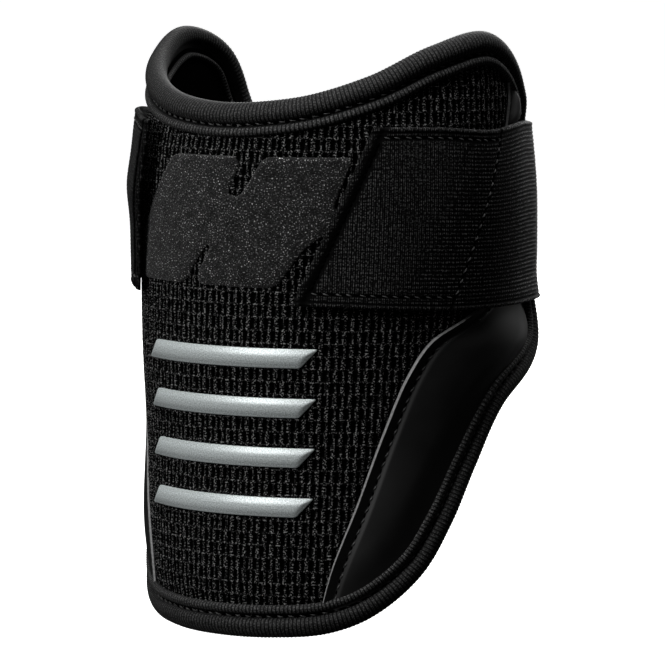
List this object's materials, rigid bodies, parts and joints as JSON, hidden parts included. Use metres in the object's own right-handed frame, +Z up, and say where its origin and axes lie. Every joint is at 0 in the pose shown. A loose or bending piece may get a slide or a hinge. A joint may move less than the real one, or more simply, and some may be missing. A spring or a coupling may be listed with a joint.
{
  "type": "elbow guard",
  "caption": "C-shaped padded elbow guard with a mesh front, smooth side panels, a rolled edge binding and an elastic strap that closes on a loop patch at the front.",
  "frame": {"origin": "on the arm's axis, at the level of the elbow, where an arm holds the guard", "axes": "+Z up along the arm, -Y to the front of the guard, +X to the right wing as seen from the front"},
  "size_m": [0.1198, 0.1095, 0.17],
  "materials": {
    "lining": "brushed black lining over moulded foam",
    "mesh": "open black spacer mesh of fuzzy yarn",
    "coated_panel": "smooth coated black panel, satin",
    "binding": "fine ribbed black elastic binding",
    "velour": "black loop pile",
    "elastic": "woven black elastic with fine ribs",
    "hook_tape": "black moulded hooks",
    "silver_trim": "raised silver-grey film, soft sparkle"
  },
  "bodies": {
    "root": {"pad_core": "lining", "mesh_panel": "mesh", "side_panel_right": "coated_panel", "side_panel_left": "coated_panel", "edge_binding": "binding", "loop_patch": "velour", "strap": "elastic", "hook_patch_right": "hook_tape", "hook_patch_left": "hook_tape", "trim_bar_1": "silver_trim", "trim_bar_2": "silver_trim", "trim_bar_3": "silver_trim", "trim_bar_4": "silver_trim"}
  },
  "joints": []
}
